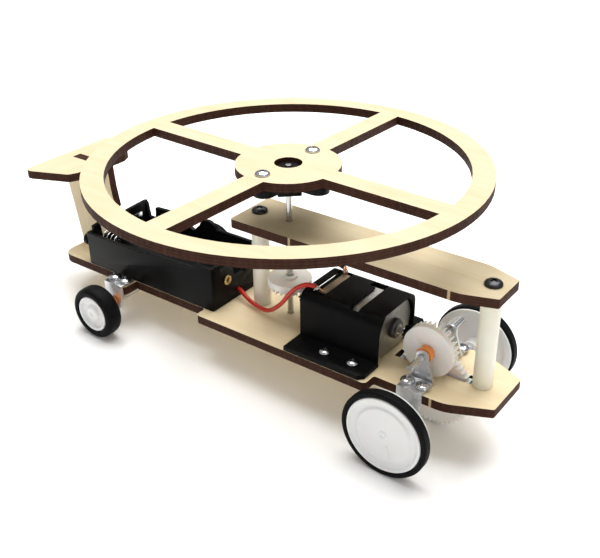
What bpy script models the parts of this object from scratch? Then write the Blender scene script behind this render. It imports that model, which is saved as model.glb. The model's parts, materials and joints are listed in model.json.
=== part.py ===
"""Plywood helicopter-car chassis: a four-wheel motorised kit with a large four-spoke rotor.

Everything is laid out in the chassis frame and in millimetres: +X forward, +Y left, Z up from
the top face of the base plate, with the vertical rotor shaft at X = Y = 0. One parent empty then
tips the chassis nose up, as its small rear wheels and large front wheels do, and stands it on
Z = 0. All solids are written in metres.
"""

import math

import bmesh
import bpy
from mathutils import Matrix, Vector

MM = 0.001
GAP = 0.15  # clearance between pieces that rest on each other
RUN = 0.08  # radial clearance of a running fit

# Plywood frame
PLY = 3.0
BASE_REAR_X, BASE_NOSE_X = -97.0, 79.3
BASE_NARROW, BASE_WIDE, BASE_FRONT, BASE_NOSE = 15.5, 20.0, 15.0, 9.0  # half widths
WIDE_REAR_X, WIDE_FRONT_X = -25.0, 42.5
TAPER_X = 66.0
EAR_REAR_X, EAR_FRONT_X, EAR_Y = -67.2, -57.6, 21.6
UPPER_REAR_X, UPPER_NOSE_X = -16.4, 76.0
UPPER_HALF, UPPER_NOSE = 10.1, 6.5
PILLAR_HEIGHT = UPPER_Z = 31.2
PILLAR_R, PILLAR_BORE_R = 3.0, 1.5
FRONT_PILLAR_X, REAR_PILLAR_X = 71.0, -12.0

# Rotor
ROTOR_Z = 51.0  # underside of the rotor wheel
RING_R, RING_INNER_R, DISC_R, SPOKE_WIDTH = 63.0, 56.0, 16.6, 7.3
ROTOR_ANGLE = math.radians(-2.2)
HUB_HOLE_R = 4.4
SHAFT_R = 1.0
HUB_SCREW_Y = 12.2
HUB_REACH, HUB_ARM_R, HUB_ARM_THICK, HUB_CLAMP = 15.2, 3.5, 3.6, 3.8

# Motor, a 130-size can lying on its flat side
MOTOR_Z = 8.7
CAN_HALF_WIDTH, CAN_HALF_HEIGHT = 10.05, 7.55
CAN_REAR_X, CAN_FRONT_X = 18.8, 40.0
HOUSING_REAR_X, HOUSING_FRONT_X = 12.0, 41.2
HOUSING_HALF, HOUSING_TOP = 10.9, 17.2
FLANGE_Y, FLANGE_THICK = 19.9, 1.5

# Gear train, all half-millimetre module
MODULE = 0.5
MOTOR_TEETH, CROWN_TEETH, PINION_TEETH, AXLE_TEETH, ROTOR_TEETH = 8, 30, 10, 52, 25
CROWN_MEAN_R = MODULE * CROWN_TEETH / 2
ROTOR_CROWN_MEAN_R = MODULE * ROTOR_TEETH / 2
CROWN_TOOTH_TIP = 1.55  # distance from the motor axis to the crown tooth tips
CROWN_ROOT = 2.8  # distance from the motor axis to the crown disc
DRIVE_DISC, DRIVE_ROOT = 1.6, 4.2
GEAR_SHAFT_HALF = 16.5
AXLE_X = 55.2
MESH_EXTRA = 0.06
FRONT_AXLE_Z = MOTOR_Z - MODULE * (PINION_TEETH + AXLE_TEETH) / 2 - MESH_EXTRA

# Running gear
AXLE_R = 1.0
FRONT_WHEEL_Y, FRONT_DISC_R, FRONT_TYRE_R, FRONT_TYRE_WIDTH = 30.4, 12.4, 14.2, 3.3
REAR_AXLE_X, REAR_AXLE_Z = -62.2, -6.4
REAR_WHEEL_Y, REAR_HUB_R, REAR_TYRE_R, REAR_TYRE_WIDTH = 34.0, 6.6, 9.4, 6.6
BRACKET_WIDTH, BRACKET_THICK = 8.5, 0.8

# Battery box for two AA cells
BOX_REAR_X, BOX_FRONT_X, BOX_HALF, BOX_WALL = -82.0, -21.0, 15.4, 1.4
BOX_FLOOR = 1.6
BOX_TOP, BOX_LOW = 16.2, 11.6

# Leads from the battery box to the motor
WIRE_R = 0.75
WIRE_EXIT_Y, WIRE_EXIT_Z = -1.8, 2.9
BLACK_EXIT = (12.0, 10.2)
RED_ROUTE = [(-23.6, -1.8, 2.9), (-20.5, -2.0, 2.85), (-13.0, -5.0, 2.0), (-4.5, -7.2, 2.6), (2.4, -9.2, 8.0),
             (6.4, -9.6, 13.2), (9.2, -9.0, 16.6), (12.4, -7.8, 18.4), (15.2, -6.8, 18.2)]
BLACK_ROUTE = [(-23.6, 12.0, 10.2), (-20.4, 12.0, 10.4), (-13.0, 11.4, 12.6), (-5.0, 10.6, 14.8),
               (3.0, 9.8, 16.4), (9.6, 9.0, 18.4), (13.4, 8.4, 19.0), (16.4, 7.8, 18.6)]

# Tail
TAILPLANE_Z = 30.6

# The chassis tips nose up until both pairs of wheels touch the ground.
AXLE_RUN, AXLE_RISE = AXLE_X - REAR_AXLE_X, FRONT_AXLE_Z - REAR_AXLE_Z
GROUND_PITCH = math.asin((FRONT_TYRE_R - REAR_TYRE_R) / math.hypot(AXLE_RUN, AXLE_RISE))
GROUND_PITCH -= math.atan2(AXLE_RISE, AXLE_RUN)

# Fastener positions on one side of the base plate
HOUSING_SCREWS = [(24.7, 15.3), (35.0, 15.3)]
FRONT_SCREWS = [(AXLE_X - 2.6, 12.3), (AXLE_X + 2.6, 12.3)]
REAR_SCREWS = [(REAR_AXLE_X - 2.5, 18.9), (REAR_AXLE_X + 2.5, 18.9)]

MATERIALS = {
    "plywood": ((0.83, 0.70, 0.48), 0.6, 0.0),
    "black_plastic": ((0.02, 0.02, 0.022), 0.45, 0.0),
    "white_plastic": ((0.85, 0.85, 0.83), 0.35, 0.0),
    "orange_plastic": ((0.75, 0.28, 0.06), 0.4, 0.0),
    "steel": ((0.6, 0.6, 0.6), 0.25, 1.0),
    "brass": ((0.7, 0.5, 0.22), 0.3, 1.0),
    "rubber": ((0.02, 0.02, 0.02), 0.8, 0.0),
    "red_insulation": ((0.5, 0.04, 0.03), 0.4, 0.0),
    "black_insulation": ((0.02, 0.02, 0.02), 0.4, 0.0),
}


def clear_scene():
    for obj in list(bpy.data.objects):
        bpy.data.objects.remove(obj, do_unlink=True)


def material(name):
    found = bpy.data.materials.get(name)
    if found:
        return found
    colour, roughness, metallic = MATERIALS[name]
    made = bpy.data.materials.new(name)
    made.use_nodes = True
    shader = made.node_tree.nodes["Principled BSDF"]
    shader.inputs["Base Color"].default_value = (*colour, 1.0)
    shader.inputs["Roughness"].default_value = roughness
    shader.inputs["Metallic"].default_value = metallic
    return made


def link(name, data, mat, matrix=None):
    """An object in the chassis frame, under the tipped parent."""
    obj = bpy.data.objects.new(name, data)
    bpy.context.scene.collection.objects.link(obj)
    obj.parent = bpy.data.objects["chassis_frame"]
    obj.matrix_local = matrix or Matrix()
    if mat:
        data.materials.append(material(mat))
    return obj


def helper(obj):
    obj.hide_render = True
    obj.display_type = "WIRE"
    return obj


def boolean(obj, other, operation="DIFFERENCE"):
    modifier = obj.modifiers.new(operation.lower(), "BOOLEAN")
    modifier.operation = operation
    modifier.object = helper(other)
    return modifier


# --- outlines -----------------------------------------------------------------------------------


def arc(centre, radius, start, end, steps):
    """Points on an arc, from the start to the end angle in degrees, ends included."""
    points = []
    for i in range(steps + 1):
        angle = math.radians(start + (end - start) * i / steps)
        points.append((centre[0] + radius * math.cos(angle), centre[1] + radius * math.sin(angle)))
    return points


def circle(x, y, radius, steps=24, phase=0.0):
    return arc((x, y), radius, phase, phase + 360.0 * (steps - 1) / steps, steps - 1)


def box_outline(x0, y0, x1, y1):
    return [(x0, y0), (x1, y0), (x1, y1), (x0, y1)]


def rounded(points, radius, steps=4):
    """The outline with every corner rounded to the radius, or to its own where it has a third value."""
    result = []
    count = len(points)
    for i in range(count):
        before, here, after = (Vector(points[(i + k) % count][:2]) for k in (-1, 0, 1))
        r = points[i][2] if len(points[i]) > 2 else radius
        into, out = (before - here).normalized(), (after - here).normalized()
        half = math.acos(max(-1.0, min(1.0, into.dot(out)))) / 2
        if r < 1e-6 or half > math.radians(88):
            result.append(tuple(here))
            continue
        reach = r / math.tan(half)
        centre = here + (into + out).normalized() * (r / math.sin(half))
        first, last = here + into * reach - centre, here + out * reach - centre
        turn = first.angle_signed(last)
        for k in range(steps + 1):
            spoke = first.copy()
            spoke.rotate(Matrix.Rotation(-turn * k / steps, 2))
            result.append(tuple(centre + spoke))
    return result


def gear_outline(teeth, thickness=0.44, phase=0.0, root=1.25, flank=3):
    """A spur gear's outline with involute flanks. Thickness is the tooth's share of the pitch."""
    pitch_r = MODULE * teeth / 2
    base_r = pitch_r * math.cos(math.radians(20))
    root_r, tip_r = pitch_r - root * MODULE, pitch_r + 0.96 * MODULE
    half_at_pitch = math.pi * thickness / teeth
    roll = lambda r: math.sqrt(max((r / base_r) ** 2 - 1, 0.0))
    involute = lambda r: roll(r) - math.atan(roll(r))
    start_r = max(base_r, root_r)
    flanks = [(r, half_at_pitch + involute(pitch_r) - involute(r)) for r in
              (start_r + (tip_r - start_r) * k / (flank - 1) for k in range(flank))]
    if root_r < base_r:
        flanks.insert(0, (root_r, flanks[0][1]))
    points = []
    for tooth in range(teeth):
        middle = phase + 2 * math.pi * tooth / teeth
        side = [(r, -half) for r, half in flanks] + [(r, half) for r, half in reversed(flanks)]
        points += [(r * math.cos(middle + a), r * math.sin(middle + a)) for r, a in side]
    return points


# --- solids -------------------------------------------------------------------------------------

UPRIGHT = Matrix()
ALONG_X = Matrix.Rotation(math.radians(90), 4, "Y")  # local Z becomes +X
ALONG_Y = Matrix.Rotation(math.radians(-90), 4, "X")  # local Z becomes +Y, local Y becomes -Z


def at(x=0.0, y=0.0, z=0.0):
    return Matrix.Translation(Vector((x, y, z)) * MM)


def sheet(name, mat, outlines, low, high, matrix=None):
    """A flat piece: the first outline filled, the others cut through, from low to high in local Z."""
    curve = bpy.data.curves.new(name, "CURVE")
    curve.dimensions = "2D"
    curve.fill_mode = "BOTH"
    curve.extrude = (high - low) / 2 * MM
    for outline in outlines:
        spline = curve.splines.new("POLY")
        spline.points.add(len(outline) - 1)
        for point, (x, y) in zip(spline.points, outline):
            point.co = (x * MM, y * MM, 0.0, 1.0)
        spline.use_cyclic_u = True
    matrix = (matrix or Matrix()) @ at(z=(low + high) / 2)
    return link(name, curve, mat, matrix)


def solid_sheet(name, mat, outline, low, high, matrix=None):
    """An extruded outline as a mesh, which a Boolean can use."""
    mesh = bpy.data.meshes.new(name)
    bm = bmesh.new()
    lower = [bm.verts.new((x * MM, y * MM, low * MM)) for x, y in outline]
    face = bm.faces.new(lower)
    raised = bmesh.ops.extrude_face_region(bm, geom=[face])["geom"]
    verts = [v for v in raised if isinstance(v, bmesh.types.BMVert)]
    bmesh.ops.translate(bm, verts=verts, vec=(0, 0, (high - low) * MM))
    bmesh.ops.recalc_face_normals(bm, faces=bm.faces)
    bm.to_mesh(mesh)
    bm.free()
    return link(name, mesh, mat, matrix)


def turned(name, mat, profile, matrix=None, steps=24, smooth=True):
    """A turned piece: (radius, height) points from the bottom of the axis up, closed if it's a ring."""
    mesh = bpy.data.meshes.new(name)
    bm = bmesh.new()
    rings = []
    for radius, height in profile:
        if radius < 1e-9:
            rings.append([bm.verts.new((0, 0, height * MM))])
            continue
        rings.append([bm.verts.new((x * MM, y * MM, height * MM))
                      for x, y in circle(0, 0, radius, steps)])
    is_ring = all(len(ring) > 1 for ring in (rings[0], rings[-1]))
    pairs = list(zip(rings, rings[1:])) + ([(rings[-1], rings[0])] if is_ring else [])
    for low, high in pairs:
        for i in range(steps):
            j = (i + 1) % steps
            if len(low) == 1:
                bm.faces.new((low[0], high[j], high[i]))
            elif len(high) == 1:
                bm.faces.new((low[i], low[j], high[0]))
            else:
                bm.faces.new((low[i], low[j], high[j], high[i]))
    bmesh.ops.recalc_face_normals(bm, faces=bm.faces)
    bm.to_mesh(mesh)
    bm.free()
    if smooth:
        mesh.shade_smooth()
        mesh.set_sharp_from_angle(angle=math.radians(35))
    return link(name, mesh, mat, matrix)


def rod(name, mat, radius, low, high, matrix=None, steps=20):
    return turned(name, mat, [(0, low), (radius, low), (radius, high), (0, high)], matrix, steps)


def tube(name, mat, inner, outer, low, high, matrix=None, steps=24):
    profile = [(inner, low), (outer, low), (outer, high), (inner, high)]
    return turned(name, mat, profile, matrix, steps)


def screw(name, mat, head_r, head_height, shank_r, length, matrix):
    """A screw with its head on local Z = 0 and its shank below."""
    profile = [(0, -length), (shank_r, -length + shank_r), (shank_r, 0.0), (head_r, 0.0),
               (head_r, head_height * 0.4), (head_r * 0.6, head_height), (0, head_height)]
    return turned(name, mat, profile, matrix, steps=10)


def crown_gear(name, mat, teeth, mean_r, half_width, disc_thick, tooth_height, phase):
    """A disc with radial teeth standing on its top face, which is local Z = 0."""
    inner_r, outer_r = mean_r - half_width, mean_r + half_width
    share = 0.34
    mesh = bpy.data.meshes.new(name)
    bm = bmesh.new()
    angles = []
    for tooth in range(teeth):
        middle = phase + 2 * math.pi * tooth / teeth
        half = math.pi * share / teeth
        angles += [(middle - half, True), (middle + half, False)]
    ring = lambda r, z: [bm.verts.new((r * math.cos(a) * MM, r * math.sin(a) * MM, z * MM))
                         for a, _ in angles]
    low, high = ring(outer_r, -disc_thick), ring(outer_r, 0.0)
    inner = ring(inner_r, 0.0)
    top, bottom = bm.verts.new((0, 0, 0)), bm.verts.new((0, 0, -disc_thick * MM))
    tooth_faces = []
    for i, (_, is_tooth) in enumerate(angles):
        j = (i + 1) % len(angles)
        bm.faces.new((low[i], low[j], high[j], high[i]))
        face = bm.faces.new((high[i], high[j], inner[j], inner[i]))
        bm.faces.new((inner[i], inner[j], top))
        bm.faces.new((low[j], low[i], bottom))
        if is_tooth:
            tooth_faces.append(face)
    bmesh.ops.recalc_face_normals(bm, faces=bm.faces)
    grown = bmesh.ops.extrude_discrete_faces(bm, faces=tooth_faces)["faces"]
    for face in grown:
        middle = face.calc_center_median()
        along = Vector((middle.x, middle.y, 0)).normalized()
        for vert in face.verts:
            offset = vert.co - middle
            radial = along * offset.dot(along)
            vert.co = middle + radial + (offset - radial) * 0.62
            vert.co.z += tooth_height * MM
    bm.to_mesh(mesh)
    bm.free()
    return link(name, mesh, mat, Matrix())


# --- the pieces ---------------------------------------------------------------------------------


def base_plate():
    near_edge = [
        (BASE_REAR_X, BASE_NARROW, 4.5), (EAR_REAR_X, BASE_NARROW, 0), (EAR_REAR_X, EAR_Y, 1.0),
        (EAR_FRONT_X, EAR_Y, 1.5), (EAR_FRONT_X, BASE_NARROW, 0), (WIDE_REAR_X, BASE_NARROW, 0.8),
        (WIDE_REAR_X, BASE_WIDE, 1.5), (WIDE_FRONT_X, BASE_WIDE, 1.5), (WIDE_FRONT_X, BASE_FRONT, 0.8),
        (TAPER_X, BASE_FRONT, 12.0), (BASE_NOSE_X, BASE_NOSE, 0.8),
    ]
    outline = rounded([(x, -y, r) for x, y, r in near_edge]
                      + [(x, y, r) for x, y, r in reversed(near_edge)], 1.0)
    holes = [box_outline(AXLE_X - 13.3, -1.8, AXLE_X + 13.2, 2.4)]
    holes.append(box_outline(-96.0, -1.8, -86.0, 1.8))
    holes.append(circle(0, 0, SHAFT_R + RUN, 16))
    for x in (FRONT_PILLAR_X, REAR_PILLAR_X):
        holes.append(circle(x, 0, 1.4, 12))
    for side in (-1, 1):
        holes += [circle(x, y * side, 1.1, 10) for x, y in HOUSING_SCREWS + FRONT_SCREWS + REAR_SCREWS]
    return sheet("base_plate", "plywood", [outline, *holes], -PLY, 0.0)


def upper_plate():
    half_outline = [(UPPER_REAR_X, UPPER_HALF, 1.2), (65.5, UPPER_HALF, 14.0),
                    (UPPER_NOSE_X, UPPER_NOSE, 0.6)]
    outline = rounded([(x, -y, r) for x, y, r in half_outline]
                      + [(x, y, r) for x, y, r in reversed(half_outline)], 1.0, 5)
    holes = [circle(0, 0, SHAFT_R + RUN, 16)]
    holes += [circle(x, 0, 1.4, 12) for x in (FRONT_PILLAR_X, REAR_PILLAR_X)]
    return sheet("upper_plate", "plywood", [outline, *holes], UPPER_Z, UPPER_Z + PLY)


def pillars():
    for name, x in (("front_pillar", FRONT_PILLAR_X), ("rear_pillar", REAR_PILLAR_X)):
        tube(name, "white_plastic", PILLAR_BORE_R, PILLAR_R, GAP, PILLAR_HEIGHT - GAP, at(x), 28)
        end = name.split("_")[0]
        screw(f"upper_{end}_screw", "black_plastic", 2.7, 1.7, 1.1, 9.0,
              at(x, 0, UPPER_Z + PLY + GAP))
        screw(f"lower_{end}_screw", "black_plastic", 2.7, 1.7, 1.1, 9.0,
              at(x, 0, -PLY - GAP) @ Matrix.Rotation(math.pi, 4, "X"))


def rotor_wheel():
    """The ring, four spokes and centre disc, cut from one sheet."""
    outer = circle(0, 0, RING_R, 96)
    half = SPOKE_WIDTH / 2
    holes = [circle(0, 0, HUB_HOLE_R, 24)]
    for quarter in range(4):
        turn = ROTOR_ANGLE + quarter * math.pi / 2
        rim = math.degrees(math.asin(half / RING_INNER_R))
        root = math.degrees(math.asin(half / DISC_R))
        window = arc((0, 0), RING_INNER_R, rim, 90 - rim, 20) + arc((0, 0), DISC_R, 90 - root, root, 8)
        holes.append([(x * math.cos(turn) - y * math.sin(turn), x * math.sin(turn) + y * math.cos(turn))
                      for x, y in window])
    for side in (-1, 1):
        x, y = -side * HUB_SCREW_Y * math.sin(ROTOR_ANGLE), side * HUB_SCREW_Y * math.cos(ROTOR_ANGLE)
        holes.append(circle(x, y, 1.35, 10))
    return sheet("rotor_wheel", "plywood", [outer, *holes], ROTOR_Z, ROTOR_Z + PLY)


def rotor_hub():
    """A black cross under the spokes, with a square clamp on the shaft and a collar in the wheel's hole."""
    turn = Matrix.Rotation(ROTOR_ANGLE, 4, "Z")
    top = ROTOR_Z - GAP
    reach = HUB_REACH - HUB_ARM_R
    low = ROTOR_Z - HUB_ARM_THICK
    outline = arc((0, reach), HUB_ARM_R, 0, 180, 10) + arc((0, -reach), HUB_ARM_R, 180, 360, 10)
    hub = solid_sheet("rotor_hub", "black_plastic", outline, low, top, turn)
    crossing = solid_sheet("hub_crossing_guide", None, [(y, -x) for x, y in outline], low + 0.02, top - 0.02, turn)
    boolean(hub, crossing, "UNION")
    clamp = rounded(box_outline(-HUB_CLAMP, -HUB_CLAMP, HUB_CLAMP, HUB_CLAMP), 0.5, 2)
    clamp_turn = turn @ Matrix.Rotation(math.radians(45), 4, "Z")
    boolean(hub, solid_sheet("hub_clamp_guide", None, clamp, 44.2, 48.5, clamp_turn), "UNION")
    collar = turned("hub_collar_guide", None, [(0, 48.0), (3.9, 48.0), (3.9, 52.4), (3.4, 52.9), (0, 52.9)],
                    turn, 24)
    boolean(hub, collar, "UNION")
    boolean(hub, rod("hub_bore_guide", None, SHAFT_R + 0.1, 40.0, 60.0, turn, 16))
    for side in (-1, 1):
        end = "near" if side < 0 else "far"
        where = turn @ at(0, side * HUB_SCREW_Y, 0)
        boolean(hub, rod(f"hub_screw_hole_guide_{end}", None, 1.35, 40.0, 60.0, where, 10))
        screw(f"rotor_screw_{end}", "steel", 2.35, 1.3, 1.0, 6.2, where @ at(z=ROTOR_Z + PLY + GAP))


def rotor_drive():
    rod("rotor_shaft", "steel", SHAFT_R, -2.6, 53.4, UPRIGHT, 16)
    flip = Matrix.Rotation(math.pi, 4, "X")
    phase = math.pi / ROTOR_TEETH
    gear = crown_gear("rotor_crown_gear", "white_plastic", ROTOR_TEETH, ROTOR_CROWN_MEAN_R, 1.05,
                      2.2, CROWN_ROOT - CROWN_TOOTH_TIP, phase)
    gear.matrix_local = at(z=MOTOR_Z + CROWN_ROOT) @ flip
    hub = turned("rotor_crown_hub_guide", None, [(0, 7.6), (2.6, 7.6), (2.6, 14.6), (0, 14.6)], UPRIGHT, 20)
    boolean(gear, hub, "UNION")
    boolean(gear, rod("rotor_crown_bore_guide", None, SHAFT_R + 0.3, 5.0, 18.0, UPRIGHT, 16))


def can_outline(half_width, half_height):
    """The motor's section: flat top and bottom, round sides. Y across, Z up, about its axis."""
    side = math.degrees(math.asin(half_height / half_width))
    right = arc((0, 0), half_width, -side, side, 12)
    left = arc((0, 0), half_width, 180 - side, 180 + side, 12)
    return right + left


def section_along_x(points):
    """(y, z) points as local X and Y of a piece that runs along X after ALONG_X."""
    return [(-z, y) for y, z in points]


def motor():
    housing_points = [(-FLANGE_Y, GAP), (-FLANGE_Y, GAP + FLANGE_THICK), (-HOUSING_HALF, GAP + FLANGE_THICK)]
    housing_points += arc((-HOUSING_HALF + 3.6, HOUSING_TOP - 3.6), 3.6, 180, 90, 6)
    housing_points += [(-y, z) for y, z in reversed(housing_points)]
    housing = solid_sheet("motor_housing", "black_plastic", section_along_x(housing_points),
                          HOUSING_REAR_X, HOUSING_FRONT_X, ALONG_X)
    tunnel = can_outline(CAN_HALF_WIDTH + 0.3, CAN_HALF_HEIGHT + 0.3)
    tunnel = [(y, z + MOTOR_Z) for y, z in tunnel]
    floor = [(y, z) for y, z in tunnel if z > MOTOR_Z] + [(-CAN_HALF_WIDTH - 0.3, MOTOR_Z),
                                                          (-CAN_HALF_WIDTH - 0.3, -1.0),
                                                          (CAN_HALF_WIDTH + 0.3, -1.0),
                                                          (CAN_HALF_WIDTH + 0.3, MOTOR_Z)]
    boolean(housing, solid_sheet("housing_tunnel_guide", None, section_along_x(floor), 5.0, 50.0, ALONG_X))
    boolean(housing, solid_sheet("housing_window_guide", None,
                                 box_outline(14.4, -8.4, 19.6, 8.8), 12.0, 25.0))
    slot = [(29.8, -9.4), (32.9, -9.4), (32.9, 9.6), (27.6, 9.6), (27.6, 5.2), (29.8, 5.2)]
    boolean(housing, solid_sheet("housing_slot_guide", None, slot, 13.4, 25.0))
    for side in (-1, 1):
        for i, (x, y) in enumerate(HOUSING_SCREWS):
            where = at(x, side * y, 0)
            boolean(housing, rod(f"housing_hole_guide_{side}_{i}", None, 1.3, -1.0, 4.0, where, 10))
            end = ("rear", "front")[i]
            screw(f"housing_screw_{'near' if side < 0 else 'far'}_{end}", "steel", 1.9, 1.3, 0.85, 5.4,
                  at(x, side * y, 2 * GAP + FLANGE_THICK))
    corner = [(HOUSING_FRONT_X + 1, FLANGE_Y - 3.0), (HOUSING_FRONT_X + 1, FLANGE_Y + 1),
              (HOUSING_FRONT_X - 2.5, FLANGE_Y + 1)]
    for side in (-1, 1):
        boolean(housing, solid_sheet(f"housing_corner_guide_{side}", None,
                                     [(x, side * y) for x, y in corner], -1.0, 4.0))

    axis = at(z=MOTOR_Z) @ ALONG_X
    can = solid_sheet("motor_can", "steel", section_along_x(can_outline(CAN_HALF_WIDTH, CAN_HALF_HEIGHT)),
                      CAN_REAR_X, CAN_FRONT_X, axis)
    boolean(can, turned("can_boss_guide", None, [(0, 39.0), (3.0, 39.0), (3.0, 41.5), (0, 41.5)], axis, 20),
            "UNION")
    boolean(can, rod("can_bore_guide", None, SHAFT_R + 0.3, 10.0, 45.0, axis, 16))
    cap_section = can_outline(CAN_HALF_WIDTH - 0.3, CAN_HALF_HEIGHT - 0.3)
    cap = solid_sheet("motor_end_cap", "black_plastic", section_along_x(cap_section),
                      14.4, CAN_REAR_X - GAP, axis)
    boolean(cap, turned("cap_boss_guide", None, [(0, 12.6), (2.9, 12.6), (2.9, 15.0), (0, 15.0)], axis, 20),
            "UNION")
    boolean(cap, rod("cap_bore_guide", None, SHAFT_R + 0.3, 5.0, 25.0, axis, 16))
    rod("motor_shaft", "steel", SHAFT_R, 4.7, 49.6, axis, 16)
    # A tooth of each pinion points at -Y and at +Z, where the two crown gears meet them.
    outline = gear_outline(MOTOR_TEETH, 0.39, 0.0, 1.15, 3)
    bore = circle(0, 0, SHAFT_R + 0.15, 12)
    for name, low, high in (("rear_pinion", 5.0, 10.4), ("front_pinion", 44.2, 49.4)):
        sheet(name, "black_plastic", [outline, bore], low, high, axis)


def drive_gear():
    """The white compound gear: a crown disc, a small pinion and their bore, on its own shaft."""
    disc_face = -DRIVE_ROOT
    axis = at(AXLE_X, 0, MOTOR_Z) @ ALONG_Y
    # Local X is forward, so the gap that takes the motor pinion is at 180 degrees.
    phase = math.pi + math.pi / CROWN_TEETH
    gear = crown_gear("drive_crown_gear", "white_plastic", CROWN_TEETH, CROWN_MEAN_R, 0.9, DRIVE_DISC,
                      DRIVE_ROOT - CROWN_TOOTH_TIP, phase)
    gear.matrix_local = axis @ at(z=disc_face)
    # The gap between two pinion teeth points down, which is local +Y here.
    pinion_phase = math.pi / 2 + math.pi / PINION_TEETH
    pinion = solid_sheet("drive_pinion_guide", None, gear_outline(PINION_TEETH, 0.42, pinion_phase, 1.2),
                         disc_face - 0.5, 2.4, axis)
    boolean(gear, pinion, "UNION")
    boolean(gear, rod("drive_bore_guide", None, SHAFT_R + 0.1, -10.0, 10.0, axis, 16))
    rod("gear_shaft", "steel", SHAFT_R, -GEAR_SHAFT_HALF, GEAR_SHAFT_HALF, axis, 16)
    tube("gear_bush", "orange_plastic", SHAFT_R + RUN, 2.5, -8.2, disc_face - DRIVE_DISC - GAP, axis, 20)


def on_edge(name, mat, outline, low, high):
    """A sheet standing on edge along X: its outline as (x, z) points, from low to high in Y."""
    return solid_sheet(name, mat, [(x, -z) for x, z in outline], low, high, ALONG_Y)


def bracket(name, side, x, inner_y, outer_y, axle_z, screws, upright):
    """A bent zinc strip: a foot on the base plate, a leg down outside it, and maybe an upright inside."""
    half, t = BRACKET_WIDTH / 2, BRACKET_THICK
    top = GAP + t
    y0, y1 = sorted((side * inner_y, side * outer_y))
    foot = solid_sheet(name, "steel", box_outline(x - half, y0, x + half, y1), GAP, top)
    leg = arc((x, axle_z), 3.1, 180, 360, 10) + [(x + half, -2.0), (x + half, top - 0.04), (x - half, top - 0.04),
                                                 (x - half, -2.0)]
    y0, y1 = sorted((side * (outer_y - t), side * (outer_y + 0.03)))
    boolean(foot, on_edge(f"{name}_leg_guide", None, leg, y0, y1), "UNION")
    if upright:
        tower = arc((x, MOTOR_Z), 2.1, -15, 195, 12) + [(x - half, 1.3), (x - half, GAP + 0.04),
                                                        (x + half, GAP + 0.04), (x + half, 1.3)]
        y0, y1 = sorted((side * (inner_y - 0.03), side * (inner_y + t)))
        boolean(foot, on_edge(f"{name}_tower_guide", None, tower, y0, y1), "UNION")
        boolean(foot, rod(f"{name}_gear_hole_guide", None, SHAFT_R + RUN, -30.0, 30.0,
                          at(x, 0, MOTOR_Z) @ ALONG_Y, 16))
    boolean(foot, rod(f"{name}_axle_hole_guide", None, AXLE_R + RUN, -30.0, 30.0,
                      at(x, 0, axle_z) @ ALONG_Y, 16))
    for i, (screw_x, screw_y) in enumerate(screws):
        where = at(screw_x, side * screw_y, 0)
        boolean(foot, rod(f"{name}_hole_guide_{i}", None, 1.15, -1.0, 4.0, where, 10))
        end = ("rear", "front")[i]
        screw(f"{name}_screw_{end}", "steel", 2.0, 1.35, 0.9, 4.6, where @ at(z=top + GAP))


def brackets():
    for side, end in ((-1, "near"), (1, "far")):
        bracket(f"front_bracket_{end}", side, AXLE_X, 8.5, 15.95, FRONT_AXLE_Z, FRONT_SCREWS, True)
        bracket(f"rear_bracket_{end}", side, REAR_AXLE_X, 16.0, 22.6, REAR_AXLE_Z, REAR_SCREWS, False)


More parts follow.
